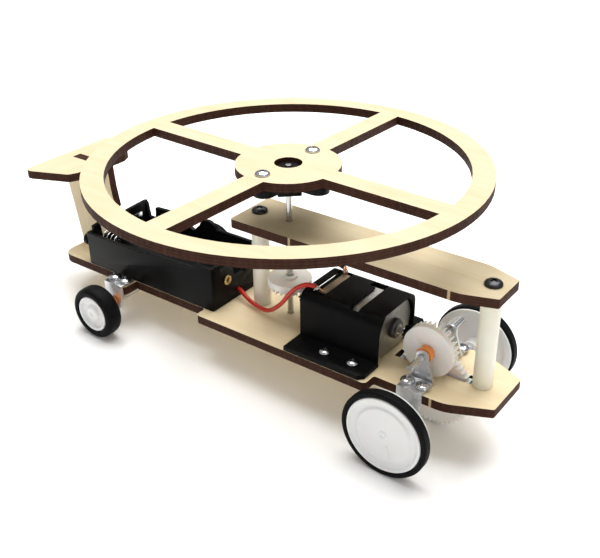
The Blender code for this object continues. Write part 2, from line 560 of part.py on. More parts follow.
def wheels():
    """Both axles with their wheels, tyres and bushes, and the spur gear on the front axle."""
    front, rear = at(AXLE_X, 0, FRONT_AXLE_Z), at(REAR_AXLE_X, 0, REAR_AXLE_Z)
    rod("front_axle", "steel", AXLE_R, -29.2, 29.2, front @ ALONG_Y, 16)
    rod("rear_axle", "steel", AXLE_R, -32.4, 32.4, rear @ ALONG_Y, 16)
    outer = FRONT_WHEEL_Y
    disc = [(0, 29.4), (AXLE_R + 0.1, 29.4), (AXLE_R + 0.1, 24.2), (2.6, 24.2), (2.6, 28.2), (11.2, 28.4),
            (11.2, 26.4), (13.5, 26.4), (13.5, 26.9), (FRONT_DISC_R, 27.0), (FRONT_DISC_R, outer - 0.4),
            (FRONT_DISC_R - 0.4, outer), (0, outer)]
    inner = FRONT_DISC_R + 0.1
    tyre = [(inner, outer - FRONT_TYRE_WIDTH), (13.7, outer - FRONT_TYRE_WIDTH),
            (FRONT_TYRE_R, outer - FRONT_TYRE_WIDTH + 0.5), (FRONT_TYRE_R, outer - 0.5), (13.8, outer - 0.1),
            (inner, outer - 0.1)]
    rear_outer = REAR_WHEEL_Y
    r = REAR_HUB_R
    hub = [(0, 32.6), (AXLE_R + 0.1, 32.6), (AXLE_R + 0.1, 27.5), (2.4, 27.5), (2.4, 29.8), (r - 1.2, 30.0),
           (r - 1.2, 27.6), (r, 27.6), (r, rear_outer - 0.6), (r - 0.3, rear_outer - 0.3),
           (r - 1.7, rear_outer - 1.7), (3.0, rear_outer - 1.9), (2.1, rear_outer - 0.3),
           (0, rear_outer - 0.3)]
    w = REAR_TYRE_WIDTH
    rear_tyre = [(r + 0.1, rear_outer - w), (8.0, rear_outer - w), (9.1, rear_outer - w + 0.8),
                 (REAR_TYRE_R, rear_outer - w + 2.0), (REAR_TYRE_R, rear_outer - 2.0),
                 (9.1, rear_outer - 0.8), (8.0, rear_outer), (r + 0.1, rear_outer - 0.5)]
    for side, end in ((-1, "near"), (1, "far")):
        turn = ALONG_Y if side > 0 else Matrix.Rotation(math.radians(90), 4, "X")
        turned(f"front_wheel_{end}", "white_plastic", disc, front @ turn, 32)
        turned(f"front_tyre_{end}", "rubber", tyre, front @ turn, 32)
        turned(f"rear_wheel_{end}", "white_plastic", hub, rear @ turn, 24)
        turned(f"rear_tyre_{end}", "rubber", rear_tyre, rear @ turn, 24)
        tube(f"rear_bush_{end}", "orange_plastic", AXLE_R + RUN, 2.1, 22.9, 27.2, rear @ turn, 16)
    tooth_up = gear_outline(AXLE_TEETH, 0.42, -math.pi / 2, 1.25, 2)
    sheet("axle_gear", "white_plastic", [tooth_up, circle(0, 0, AXLE_R + 0.1, 16)], -0.95, 1.75,
          front @ ALONG_Y)


def battery_box():
    """An open-topped tray for two cells with wavy side walls."""
    x0, x1, y1, t = BOX_REAR_X, BOX_FRONT_X, BOX_HALF, BOX_WALL
    tray = solid_sheet("battery_box", "black_plastic", rounded(box_outline(x0, -y1, x1, y1), 0.8, 2),
                       GAP, BOX_TOP)
    boolean(tray, solid_sheet("tray_cavity_guide", None, box_outline(x0 + t, -y1 + t, x1 - t, y1 - t),
                              BOX_FLOOR, 30.0))
    over = 30.0
    near = [(x0 - 3, over), (x0 - 3, 12.6), (-52.0, 12.6), (-49.5, 13.6), (-30.0, 14.4), (-27.5, BOX_TOP + 1),
            (-27.5, over)]
    boolean(tray, on_edge("near_wall_guide", None, near, -y1 - 3, -y1 + t + 1.5))
    far = [(x0 - 3, over), (x0 - 3, 14.7), (-81.2, 14.7), (-80.2, 13.6), (-79.3, 8.4), (-75.8, 8.4), (-75.4, 13.1),
           (-69.2, 13.5), (-64.0, 12.4), (-56.0, 9.0)]
    far += arc((-48.6, 10.4), 4.6, 160, 20, 8) + [(-43.2, 12.4), (-22.8, 12.4), (x1 + 3, 12.4), (x1 + 3, over)]
    boolean(tray, on_edge("far_wall_guide", None, far, y1 - t - 1.5, y1 + 3))
    front = [(-10.6, over), (-10.6, 13.4), (-4.6, 13.4), (-4.0, 8.4), (2.0, 8.4), (2.6, 12.5), (y1 + 3, 12.5),
             (y1 + 3, over)]
    boolean(tray, solid_sheet("front_wall_guide", None, section_along_x(front), x1 - t - 1.5, x1 + 3, ALONG_X))
    rear = [(-y1 - 3, over), (-y1 - 3, 12.9), (-14.4, 12.9), (-12.2, 14.3), (-9.4, 14.6), (-8.6, 8.6), (3.6, 8.6),
            (4.5, 14.3), (13.8, 14.7), (y1 + 3, 14.7), (y1 + 3, over)]
    boolean(tray, solid_sheet("rear_wall_guide", None, section_along_x(rear), x0 - 3, x0 + t + 1.5, ALONG_X))
    exit_hole = rod("wire_exit_guide", None, 1.1, -30.0, -10.0, at(0, WIRE_EXIT_Y, WIRE_EXIT_Z) @ ALONG_X, 12)
    boolean(tray, exit_hole)
    boolean(tray, rod("black_exit_guide", None, 1.1, -30.0, -10.0, at(0, *BLACK_EXIT) @ ALONG_X, 12))
    tube("battery_contact", "brass", 0.8, 1.75, x1 + GAP, x1 + GAP + 0.7, at(0, -7.8, 9.2) @ ALONG_X, 20)


def tail():
    g = GAP
    low, top = TAILPLANE_Z - g, TAILPLANE_Z + PLY
    fin = [(-101.0, -PLY), (-97.0 - g, -PLY), (-97.0 - g, g), (-95.7, g), (-95.7, -PLY + 0.1),
           (-86.4, -PLY + 0.1), (-86.4, g), (-83.7, g), (-83.7, 16.4), (-80.2, 17.6), (-81.5, 25.0), (-82.3, 34.2),
           (-86.2, 34.2), (-86.2, low), (-92.9, low), (-92.9, top), (-100.1, top), (-100.1, low),
           (-106.2, low), (-105.5, 21.0)]
    sheet("tail_fin", "plywood", [[(x, -z) for x, z in reversed(fin)]], -PLY / 2, PLY / 2, ALONG_Y)
    edge = [(-105.4, 21.8, 2.6), (-88.2, 14.8, 2.2), (-86.6, 11.4, 1.2)]
    outline = rounded([(x, -y, r) for x, y, r in edge] + [(x, y, r) for x, y, r in reversed(edge)], 1.0, 5)
    sheet("tailplane", "plywood", [outline, box_outline(-100.3, -1.7, -92.7, 1.7)], TAILPLANE_Z, top)


def smooth_route(points, spacing):
    """Points close together on one smooth curve through the route's points."""
    points = [Vector(p) for p in points]
    padded = [2 * points[0] - points[1], *points, 2 * points[-1] - points[-2]]
    route = []
    for a, b, c, d in zip(padded, padded[1:], padded[2:], padded[3:]):
        steps = max(1, round((c - b).length / spacing))
        for i in range(steps):
            t = i / steps
            route.append(0.5 * (2 * b + (c - a) * t + (2 * a - 5 * b + 4 * c - d) * t**2
                                + (3 * b - a - 3 * c + d) * t**3))
    return [*route, points[-1]]


def wire(name, mat, points):
    curve = bpy.data.curves.new(name, "CURVE")
    curve.dimensions = "3D"
    curve.bevel_depth = WIRE_R * MM
    curve.bevel_resolution = 2
    curve.use_fill_caps = True
    route = smooth_route(points, 2.4 * WIRE_R * 2)
    spline = curve.splines.new("POLY")
    spline.points.add(len(route) - 1)
    for point, place in zip(spline.points, route):
        point.co = (*(place * MM), 1.0)
    link(name, curve, mat)


def stand_on_ground(frame):
    """Tips the chassis nose up on its wheels, with the origin under the middle of its box."""
    frame.rotation_euler = (0.0, -GROUND_PITCH, 0.0)
    bpy.context.view_layer.update()
    graph = bpy.context.evaluated_depsgraph_get()
    corners = []
    for obj in bpy.data.objects:
        if obj.type == "EMPTY" or obj.hide_render:
            continue
        shape = obj.evaluated_get(graph)
        mesh = shape.to_mesh()
        corners += [shape.matrix_world @ vert.co for vert in mesh.vertices]
        shape.to_mesh_clear()
    for axis in range(3):
        low, high = min(c[axis] for c in corners), max(c[axis] for c in corners)
        frame.location[axis] = -low if axis == 2 else -(low + high) / 2


def build():
    clear_scene()
    frame = bpy.data.objects.new("chassis_frame", None)
    bpy.context.scene.collection.objects.link(frame)
    base_plate()
    upper_plate()
    pillars()
    rotor_wheel()
    rotor_hub()
    rotor_drive()
    motor()
    drive_gear()
    brackets()
    wheels()
    battery_box()
    tail()
    wire("red_wire", "red_insulation", RED_ROUTE)
    wire("black_wire", "black_insulation", BLACK_ROUTE)
    stand_on_ground(frame)


build()
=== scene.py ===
"""The looks of the plywood helicopter car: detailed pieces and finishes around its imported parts.

Every length is in millimetres in the chassis frame: +X forward, +Y left, Z up from the top face of
the base plate, with the vertical rotor shaft at X = Y = 0. CHASSIS places that frame in the row's.
"""

import json
import math

import bmesh
import bpy
from mathutils import Matrix, Vector


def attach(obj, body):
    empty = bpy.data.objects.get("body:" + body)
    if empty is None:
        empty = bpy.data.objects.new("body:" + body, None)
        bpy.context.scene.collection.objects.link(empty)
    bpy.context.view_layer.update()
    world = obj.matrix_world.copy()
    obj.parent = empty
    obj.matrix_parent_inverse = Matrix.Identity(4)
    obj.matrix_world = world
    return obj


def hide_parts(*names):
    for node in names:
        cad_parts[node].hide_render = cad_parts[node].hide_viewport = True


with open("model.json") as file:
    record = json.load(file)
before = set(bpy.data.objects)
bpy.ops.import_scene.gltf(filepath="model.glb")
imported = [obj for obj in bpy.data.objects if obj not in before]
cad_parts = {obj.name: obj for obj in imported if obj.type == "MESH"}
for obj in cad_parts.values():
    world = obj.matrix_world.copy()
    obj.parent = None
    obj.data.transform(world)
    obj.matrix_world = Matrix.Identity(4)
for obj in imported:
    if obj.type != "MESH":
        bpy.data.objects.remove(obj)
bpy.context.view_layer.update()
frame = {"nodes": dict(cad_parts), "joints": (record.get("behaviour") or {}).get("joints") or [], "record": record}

MM = 0.001
JOINTS = {joint["name"]: joint for joint in frame["joints"]}
ROTOR_JOINT_HEIGHT = 20.0


def chassis_matrix():
    up = Vector(JOINTS["rotor_spin"]["axis"])
    forward = Vector(JOINTS["motor_spin"]["axis"])
    origin = Vector(JOINTS["rotor_spin"]["pos_m"]) - up * ROTOR_JOINT_HEIGHT * MM
    turn = Matrix((forward, up.cross(forward), up)).transposed().to_4x4()
    return Matrix.Translation(origin) @ turn


CHASSIS = chassis_matrix()


def in_chassis(joint_name):
    """A joint's point in the chassis frame, in millimetres."""
    return CHASSIS.inverted() @ Vector(JOINTS[joint_name]["pos_m"]) / MM


MOTOR_Z = in_chassis("motor_spin").z
FRONT_AXLE = in_chassis("front_axle_spin")
REAR_AXLE = in_chassis("rear_axle_spin")
GEAR_AXIS = in_chassis("drive_gear_spin")
UPPER_TOP = 34.2
ROTOR_Z, PLY = 51.0, 3.0
ROTOR_ANGLE = math.radians(-2.2)
PLASTIC_TOP = 17.2  # top of the motor housing
PILLARS = (("front", 71.0), ("rear", -12.0))

# --- camera -------------------------------------------------------------------------------------

CAMERA_PLACE = (156.35, -204.98, 158.33)
CAMERA_RIGHT = (0.80554, 0.59248, -0.00852)
CAMERA_UP = (-0.28542, 0.40057, 0.87068)
CAMERA_BACK = (0.51928, -0.69893, 0.49178)
CAMERA_LENS = 53.72


def add_camera():
    camera = bpy.data.objects.new("camera", bpy.data.cameras.new("camera"))
    bpy.context.scene.collection.objects.link(camera)
    turn = Matrix((CAMERA_RIGHT, CAMERA_UP, CAMERA_BACK)).transposed().to_4x4()
    camera.matrix_world = CHASSIS @ Matrix.Translation(Vector(CAMERA_PLACE) * MM) @ turn
    camera.data.lens = CAMERA_LENS
    camera.data.sensor_width = 36.0
    camera.data.clip_start = 0.01
    bpy.context.scene.camera = camera


# --- materials ----------------------------------------------------------------------------------


class Nodes:
    """A small helper that adds and links shader nodes."""

    def __init__(self, name):
        self.material = bpy.data.materials.new(name)
        self.material.use_nodes = True
        self.tree = self.material.node_tree
        self.shader = self.tree.nodes["Principled BSDF"]

    def add(self, kind, **inputs):
        node = self.tree.nodes.new(kind)
        for key, value in inputs.items():
            self.feed(node.inputs[key.replace("_", " ")], value)
        return node

    def feed(self, socket, value):
        if isinstance(value, bpy.types.NodeSocket):
            self.tree.links.new(value, socket)
        else:
            socket.default_value = value

    def place(self, scale=(1.0, 1.0, 1.0), shift=(0.0, 0.0, 0.0)):
        """Object coordinates in millimetres, scaled and shifted."""
        where = self.add("ShaderNodeTexCoord").outputs["Object"]
        factors = tuple(1000.0 * value for value in scale)
        return self.add("ShaderNodeMapping", Vector=where, Scale=factors, Location=shift).outputs[0]

    def noise(self, where, scale, detail=3.0, roughness=0.55, distortion=0.0):
        return self.add("ShaderNodeTexNoise", Vector=where, Scale=scale, Detail=detail,
                        Roughness=roughness, Distortion=distortion).outputs["Fac"]

    def ramp(self, value, stops, smooth=False):
        node = self.add("ShaderNodeValToRGB", Fac=value)
        ramp = node.color_ramp
        ramp.interpolation = "EASE" if smooth else "LINEAR"
        while len(ramp.elements) < len(stops):
            ramp.elements.new(0.5)
        for element, (position, colour) in zip(ramp.elements, stops):
            element.position = position
            grey = isinstance(colour, float)
            element.color = (colour, colour, colour, 1.0) if grey else (*colour, 1.0)
        return node.outputs[0]

    def maths(self, operation, a, b=0.0):
        node = self.tree.nodes.new("ShaderNodeMath")
        node.operation = operation
        for socket, value in zip(node.inputs, (a, b)):
            self.feed(socket, value)
        return node.outputs[0]

    def mix(self, factor, a, b):
        node = self.tree.nodes.new("ShaderNodeMix")
        node.data_type = "RGBA"
        self.feed(node.inputs[0], factor)
        for socket, value in ((node.inputs[6], a), (node.inputs[7], b)):
            is_colour = isinstance(value, tuple)
            self.feed(socket, (*value, 1.0) if is_colour else value)
        return node.outputs[2]

    def bump(self, height, distance):
        node = self.add("ShaderNodeBump", Height=height, Distance=distance * MM, Strength=1.0)
        self.tree.links.new(node.outputs[0], self.shader.inputs["Normal"])

    def finish(self, colour, roughness, **more):
        self.feed(self.shader.inputs["Base Color"], (*colour, 1.0) if isinstance(colour, tuple) else colour)
        self.feed(self.shader.inputs["Roughness"], roughness)
        for key, value in more.items():
            self.shader.inputs[key.replace("_", " ")].default_value = value
        return self.material


def plywood_face(name, along="X", shift=0.0, tint=1.0):
    """Sanded birch veneer with its grain along one axis."""
    n = Nodes(name)
    stretch = {"X": (0.045, 1.0, 1.0), "Y": (1.0, 0.045, 1.0), "Z": (1.0, 1.0, 0.045)}[along]
    coarse_stretch = tuple(0.12 if value == 1.0 else 0.018 for value in stretch)
    fine = n.noise(n.place(stretch, (shift, shift * 0.7, 3.1)), 3.2, 5.0, 0.65)
    bands = n.noise(n.place(coarse_stretch, (shift + 9.0, shift, 1.7)), 1.6, 3.0, 0.5, 0.6)
    pores = n.noise(n.place(tuple(value * 2.0 for value in stretch), (4.0, shift, 8.0)), 4.0, 2.0, 0.5)
    mottle = n.noise(n.place((0.05, 0.05, 0.05), (shift, 2.0, 5.0)), 1.0, 2.0)
    pale, warm = (0.76 * tint, 0.65 * tint, 0.435 * tint), (0.70 * tint, 0.565 * tint, 0.35 * tint)
    colour = n.mix(n.ramp(bands, [(0.36, 0.0), (0.66, 1.0)]), pale, warm)
    colour = n.mix(n.ramp(fine, [(0.35, 0.55), (0.62, 0.0)]), colour, (0.70 * tint, 0.55 * tint, 0.35 * tint))
    colour = n.mix(n.ramp(pores, [(0.70, 0.0), (0.78, 0.45)]), colour, (0.50, 0.35, 0.20))
    lightest = (0.82 * tint, 0.71 * tint, 0.50 * tint)
    colour = n.mix(n.ramp(mottle, [(0.35, 0.0), (0.7, 0.22)]), colour, lightest)
    roughness = n.ramp(fine, [(0.3, 0.62), (0.7, 0.52)])
    n.bump(n.maths("ADD", fine, n.maths("MULTIPLY", pores, 0.5)), 0.03)
    return n.finish(colour, roughness, Specular_IOR_Level=0.28)


def plywood_edge(name, across="Z", middle=-1.5, tabs=()):
    """A laser-cut edge: three charred plies, browner where the beam ran fast, with a few pale broken tabs."""
    n = Nodes(name)
    axis = "XYZ".index(across)
    where = n.place()
    parts = n.add("ShaderNodeSeparateXYZ", Vector=where).outputs
    depth = n.maths("ABSOLUTE", n.maths("SUBTRACT", parts[axis], middle))
    wobble = n.noise(n.place((0.5, 0.5, 0.5)), 1.4, 3.0)
    depth = n.maths("ADD", depth, n.maths("MULTIPLY", n.maths("SUBTRACT", wobble, 0.5), 0.35))
    plies = n.ramp(n.maths("DIVIDE", depth, 1.5),
                   [(0.20, (0.042, 0.014, 0.007)), (0.34, (0.011, 0.004, 0.0025)),
                    (0.58, (0.055, 0.020, 0.0095)), (0.97, (0.014, 0.005, 0.003))])
    streak_scale = [0.9, 0.9, 0.9]
    streak_scale[axis] = 0.2
    streaks = n.noise(n.place(tuple(streak_scale)), 1.0, 3.0, 0.55)
    colour = n.mix(n.ramp(streaks, [(0.45, 0.0), (0.75, 0.6)]), plies, (0.066, 0.026, 0.014))
    slow = n.noise(n.place((0.05, 0.05, 0.05), (3.0, 1.0, 2.0)), 1.0, 2.0)
    colour = n.mix(n.ramp(slow, [(0.4, 0.0), (0.7, 0.4)]), colour, (0.074, 0.031, 0.017))
    for x in tabs:
        near = n.maths("ABSOLUTE", n.maths("SUBTRACT", parts[0], x))
        mask = n.ramp(near, [(0.28, 0.85), (0.55, 0.0)])
        colour = n.mix(mask, colour, (0.60, 0.44, 0.26))
    n.bump(n.maths("ADD", streaks, n.maths("MULTIPLY", wobble, 0.4)), 0.06)
    return n.finish(colour, n.ramp(streaks, [(0.3, 0.75), (0.7, 0.58)]), Specular_IOR_Level=0.12)


def moulded(name, colour, roughness=0.38, grain=0.5, contrast=0.12, **more):
    """Injection-moulded plastic: slightly uneven gloss, faint texture and a trace of flow marks."""
    n = Nodes(name)
    texture = n.noise(n.place((3.0, 3.0, 3.0)), 1.6, 3.0, 0.6)
    flow = n.noise(n.place((0.06, 0.09, 0.12), (2.0, 5.0, 1.0)), 1.0, 2.0, 0.5)
    darker = tuple(value * (1.0 - contrast) for value in colour)
    lighter = tuple(min(1.0, value * (1.0 + contrast)) for value in colour)
    tone = n.ramp(flow, [(0.25, darker), (0.75, lighter)], smooth=True)
    sheen = n.ramp(flow, [(0.2, roughness * 0.9), (0.8, roughness * 1.1)], smooth=True)
    n.bump(texture, 0.012 * grain)
    return n.finish(tone, sheen, **more)


def metal(name, colour, roughness=0.25, streak=(1.0, 1.0, 1.0), contrast=0.15, spots=0.0):
    """Bare or plated metal with fine marks and patches of duller plating."""
    n = Nodes(name)
    marks = n.noise(n.place(streak), 2.4, 5.0, 0.7)
    patches = n.noise(n.place((0.25, 0.25, 0.25), (7.0, 3.0, 1.0)), 1.5, 4.0, 0.6, 0.5)
    darker = tuple(value * (1.0 - contrast) for value in colour)
    tone = n.ramp(patches, [(0.35, darker), (0.62, colour)])
    if spots:
        tone = n.mix(n.ramp(marks, [(0.6, 0.0), (0.75, spots)]), tone, (0.16, 0.14, 0.12))
    shine = n.ramp(marks, [(0.3, roughness * 0.7), (0.7, roughness * 1.45)])
    n.bump(marks, 0.008)
    return n.finish(tone, shine, Metallic=1.0)


def rubber():
    n = Nodes("rubber")
    dust = n.noise(n.place((0.35, 0.35, 0.35)), 1.3, 4.0, 0.6)
    grain = n.noise(n.place((4.0, 4.0, 4.0)), 1.5, 2.0)
    colour = n.ramp(dust, [(0.35, (0.0030, 0.0030, 0.0033)), (0.7, (0.0060, 0.0060, 0.0066))])
    n.bump(grain, 0.02)
    return n.finish(colour, n.ramp(dust, [(0.3, 0.42), (0.7, 0.60)]), Specular_IOR_Level=0.06)


def make_materials():
    return {
        "black": moulded("black_plastic", (0.0035, 0.0035, 0.0037), 0.34, 0.8, 0.3, Specular_IOR_Level=0.08),
        "housing": moulded("black_housing", (0.0028, 0.0028, 0.0030), 0.42, 0.8, 0.25,
                           Specular_IOR_Level=0.06),
        "white": moulded("white_plastic", (0.80, 0.80, 0.79), 0.30, 0.4, 0.03, Subsurface_Weight=0.12,
                         Subsurface_Scale=0.002),
        "milky": moulded("milky_tube", (0.87, 0.83, 0.71), 0.34, 0.4, 0.03, Subsurface_Weight=0.3,
                         Subsurface_Scale=0.003),
        "nylon": moulded("gear_nylon", (0.84, 0.82, 0.78), 0.36, 0.5, 0.03, Subsurface_Weight=0.35,
                         Subsurface_Scale=0.003),
        "orange": moulded("orange_plastic", (0.74, 0.24, 0.045), 0.34, 0.5, 0.08, Subsurface_Weight=0.1,
                          Subsurface_Scale=0.002),
        "red": moulded("red_insulation", (0.50, 0.022, 0.012), 0.30, 0.4, 0.1),
        "black_wire": moulded("black_insulation", (0.012, 0.012, 0.012), 0.34, 0.4, 0.1),
        "rubber": rubber(),
        "zinc": metal("zinc_plate", (0.66, 0.67, 0.69), 0.30, (1.5, 1.5, 1.5), 0.08),
        "screw": metal("bright_screw", (0.62, 0.63, 0.65), 0.17, (2.0, 2.0, 2.0), 0.18),
        "black_screw": metal("black_screw", (0.055, 0.055, 0.058), 0.30, (2.0, 2.0, 2.0), 0.2),
        "steel": metal("shaft_steel", (0.60, 0.60, 0.60), 0.22, (2.0, 2.0, 2.0), 0.12),
        "can": metal("motor_can", (0.36, 0.355, 0.335), 0.42, (0.4, 1.2, 1.2), 0.2, 0.2),
        "boss": metal("motor_boss", (0.10, 0.095, 0.095), 0.34, (2.0, 2.0, 2.0), 0.2),
        "brass": metal("brass", (0.70, 0.49, 0.21), 0.26, (2.0, 2.0, 2.0), 0.2),
        "copper": metal("copper", (0.78, 0.40, 0.24), 0.28, (2.0, 2.0, 2.0), 0.2),
        "solder": metal("solder", (0.68, 0.68, 0.68), 0.24, (2.0, 2.0, 2.0), 0.15),
        "fibre": moulded("fibre_strip", (0.21, 0.155, 0.105), 0.5, 1.2, 0.4),
    }


MATERIALS = make_materials()

# --- geometry helpers ---------------------------------------------------------------------------

ALONG_X = Matrix.Rotation(math.radians(90), 4, "Y")  # local Z becomes +X
ALONG_Y = Matrix.Rotation(math.radians(-90), 4, "X")  # local Z becomes +Y
AGAINST_Y = Matrix.Rotation(math.radians(90), 4, "X")  # local Z becomes -Y
DOWNWARD = Matrix.Rotation(math.pi, 4, "X")


def at(x=0.0, y=0.0, z=0.0):
    return Matrix.Translation(Vector((x, y, z)) * MM)


def link(name, mesh, matrix, body, material, nodes=()):
    obj = bpy.data.objects.new(name, mesh)
    bpy.context.scene.collection.objects.link(obj)
    obj.matrix_world = CHASSIS @ matrix
    if material:
        mesh.materials.clear()
        mesh.materials.append(MATERIALS[material])
    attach(obj, body)
    if nodes:
        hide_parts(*nodes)
    return obj


def smooth(mesh, angle=32):
    mesh.shade_smooth()
    mesh.set_sharp_from_angle(angle=math.radians(angle))


def evaluated_mesh(obj, name):
    """The object's mesh with its modifiers applied; the object itself is removed."""
    graph = bpy.context.evaluated_depsgraph_get()
    mesh = bpy.data.meshes.new_from_object(obj.evaluated_get(graph))
    mesh.name = name
    bpy.data.objects.remove(obj)
    return mesh


def scratch(mesh, matrix=None):
    """A throwaway object for modifiers to work on."""
    obj = bpy.data.objects.new("scratch", mesh)
    bpy.context.scene.collection.objects.link(obj)
    obj.matrix_world = matrix or Matrix()
    return obj


def carve(mesh, cutters):
    """The mesh with the cutter meshes taken away."""
    obj = scratch(mesh)
    helpers = [scratch(cutter) for cutter in cutters]
    for helper in helpers:
        modifier = obj.modifiers.new("cut", "BOOLEAN")
        modifier.operation = "DIFFERENCE"
        modifier.object = helper
    bpy.context.view_layer.update()
    result = evaluated_mesh(obj, mesh.name)
    for helper in helpers:
        bpy.data.objects.remove(helper)
    return result


def softened(profile, radius, steps=3):
    """The (radius, height) profile with its corners rounded, apart from those on the axis."""
    result = []
    last = len(profile) - 1
    for i, point in enumerate(profile):
        here = Vector(point)
        if i in (0, last) or here.x < 1e-6:
            result.append(here)
            continue
        into, out = Vector(profile[i - 1]) - here, Vector(profile[i + 1]) - here
        reach = min(radius, 0.42 * into.length, 0.42 * out.length)
        if into.angle(out) > math.radians(160) or reach < 1e-3:
            result.append(here)
            continue
        start, end = here + into.normalized() * reach, here + out.normalized() * reach
        for k in range(steps + 1):
            t = k / steps
            result.append(start * (1 - t) ** 2 + here * 2 * t * (1 - t) + end * t**2)
    return [(point.x, point.y) for point in result]


def lathe_mesh(name, profile, steps=48, soften=0.12):
    """A turned mesh from (radius, height) points going up the outside; a ring closes on itself."""
    is_ring = profile[0][0] > 1e-6
    if is_ring:
        profile = [*profile, profile[0]]
    profile = softened(profile, soften)
    if is_ring:
        profile = profile[:-1]
    bm = bmesh.new()
    rings = []
    for radius, height in profile:
        count = 1 if radius < 1e-6 else steps
        ring = []
        for i in range(count):
            angle = 2 * math.pi * i / steps
            place = (radius * math.cos(angle) * MM, radius * math.sin(angle) * MM, height * MM)
            ring.append(bm.verts.new(place))
        rings.append(ring)
    pairs = list(zip(rings, rings[1:]))
    if is_ring:
        pairs.append((rings[-1], rings[0]))
    for low, high in pairs:
        for i in range(steps):
            j = (i + 1) % steps
            if len(low) == 1:
                bm.faces.new((low[0], high[j], high[i]))
            elif len(high) == 1:
                bm.faces.new((low[i], low[j], high[0]))
            else:
                bm.faces.new((low[i], low[j], high[j], high[i]))
    bmesh.ops.recalc_face_normals(bm, faces=bm.faces)
    mesh = bpy.data.meshes.new(name)
    bm.to_mesh(mesh)
    bm.free()
    smooth(mesh)
    return mesh


def box_mesh(name, low, high, taper=1.0):
    """A box; taper scales its top in X and Y."""
    bm = bmesh.new()
    bmesh.ops.create_cube(bm, size=1.0)
    low, high = Vector(low) * MM, Vector(high) * MM
    middle = (low + high) / 2
    for vert in bm.verts:
        shrink = taper if vert.co.z > 0 else 1.0
        vert.co = Vector((vert.co.x * shrink * (high.x - low.x), vert.co.y * shrink * (high.y - low.y),
                          vert.co.z * (high.z - low.z))) + middle
    mesh = bpy.data.meshes.new(name)
    bm.to_mesh(mesh)
    bm.free()
    return mesh


def bevelled(mesh, width, segments=2, angle=30, material=-1):
    obj = scratch(mesh)
    modifier = obj.modifiers.new("edges", "BEVEL")
    modifier.width = width * MM
    modifier.segments = segments
    modifier.limit_method = "ANGLE"
    modifier.angle_limit = math.radians(angle)
    modifier.harden_normals = False
    modifier.material = material
    bpy.context.view_layer.update()
    result = evaluated_mesh(obj, mesh.name)
    smooth(result, 40)
    return result


def body_of(node):
    return next(body for body, members in frame["record"]["behaviour"]["bodies"].items() if node in members)


def cad_mesh(node):
    """A clean copy of a CAD node's mesh in the chassis frame."""
    mesh = frame["nodes"][node].data.copy()
    mesh.name = f"{node}_detail"
    bm = bmesh.new()
    bm.from_mesh(mesh)
    bm.transform(CHASSIS.inverted())
    bmesh.ops.remove_doubles(bm, verts=bm.verts, dist=2e-6)
    bmesh.ops.dissolve_limit(bm, angle_limit=math.radians(0.3), verts=bm.verts, edges=bm.edges)
    bm.to_mesh(mesh)
    bm.free()
    if mesh.has_custom_normals:
        mesh.attributes.remove(mesh.attributes["custom_normal"])
    mesh.materials.clear()
    return mesh


def refined(node, material, width=0.2, segments=2):
    """The CAD node's shape with its edges softened and a real finish."""
    mesh = bevelled(cad_mesh(node), width, segments)
    return link(f"{node}_detail", mesh, Matrix(), body_of(node), material, [node])


def lathed(name, material, profile, matrix, body, nodes=(), steps=48, soften=0.12):
    return link(name, lathe_mesh(name, profile, steps, soften), matrix, body, material, nodes)


# --- the wooden pieces --------------------------------------------------------------------------


def wooden(node, along, across, middle, shift, tabs=(), tint=1.0):
    """A laser-cut sheet: pale faces, charred edges and a thin charred arris."""
    mesh = cad_mesh(node)
    axis = "XYZ".index(across)
    mesh.materials.append(plywood_face(f"{node}_face", along, shift, tint))
    mesh.materials.append(plywood_edge(f"{node}_edge", across, middle, tabs))
    for polygon in mesh.polygons:
        polygon.material_index = 0 if abs(polygon.normal[axis]) > 0.8 else 1
    mesh = bevelled(mesh, 0.13, 1, 40, 1)
    obj = link(f"{node}_detail", mesh, Matrix(), body_of(node), None, [node])


def add_wood():
    wooden("base_plate", "X", "Z", -1.5, 3.0, (61.8,), 1.06)
    wooden("upper_plate", "X", "Z", UPPER_TOP - 1.5, 11.0, (62.5, 7.4), 0.64)
    wooden("rotor_wheel", "X", "Z", ROTOR_Z + 1.5, 23.0, (), 0.82)
    wooden("tailplane", "Y", "Z", 32.1, 37.0, (), 0.82)
    wooden("tail_fin", "Z", "Y", 0.0, 51.0, (), 0.88)


# --- fasteners ----------------------------------------------------------------------------------


def cross_recess(name, reach, width, depth, top):
    """Two crossed tapering blades that cut a Phillips recess."""
    blades = []
    for turn in (0, 1):
        size = (reach, width / 2) if turn == 0 else (width / 2, reach)
        blade = box_mesh(f"{name}_{turn}", (-size[0], -size[1], -0.3), (size[0], size[1], depth), 0.55)
        blade.transform(Matrix.Translation((0, 0, top * MM)) @ DOWNWARD)
        blades.append(blade)
    return blades


def screw_mesh(name, head_r, head_height, shank_r, length, dome=0.75):
    """A pan-head screw: its head stands on Z = 0 and its threaded shank hangs below."""
    profile = [(0, -length), (shank_r * 0.35, -length + 0.05), (shank_r * 0.8, -length + shank_r)]
    pitch = 0.6
    turns = int((length - shank_r - 0.3) / pitch)
    for i in range(turns):
        z = -length + shank_r + pitch * i
        profile += [(shank_r * 0.8, z + 0.12), (shank_r, z + 0.28)]
        profile += [(shank_r, z + 0.34), (shank_r * 0.8, z + 0.5)]
    profile += [(shank_r * 0.8, 0.0), (head_r * 0.97, 0.0)]
    profile += [(head_r, head_height * 0.12), (head_r, head_height * 0.3)]
    for k in range(1, 7):
        angle = math.radians(90 * k / 7)
        rise = head_height * (0.3 + 0.7 * math.sin(angle))
        profile.append((head_r * (dome * math.cos(angle) + (1 - dome) * (1 - k / 7)), rise))
    profile.append((0, head_height))
    mesh = lathe_mesh(name, profile, 32, 0.04)
    mesh = carve(mesh, cross_recess(name, head_r * 0.56, head_r * 0.24, head_height * 0.6, head_height))
    smooth(mesh, 30)
    return mesh


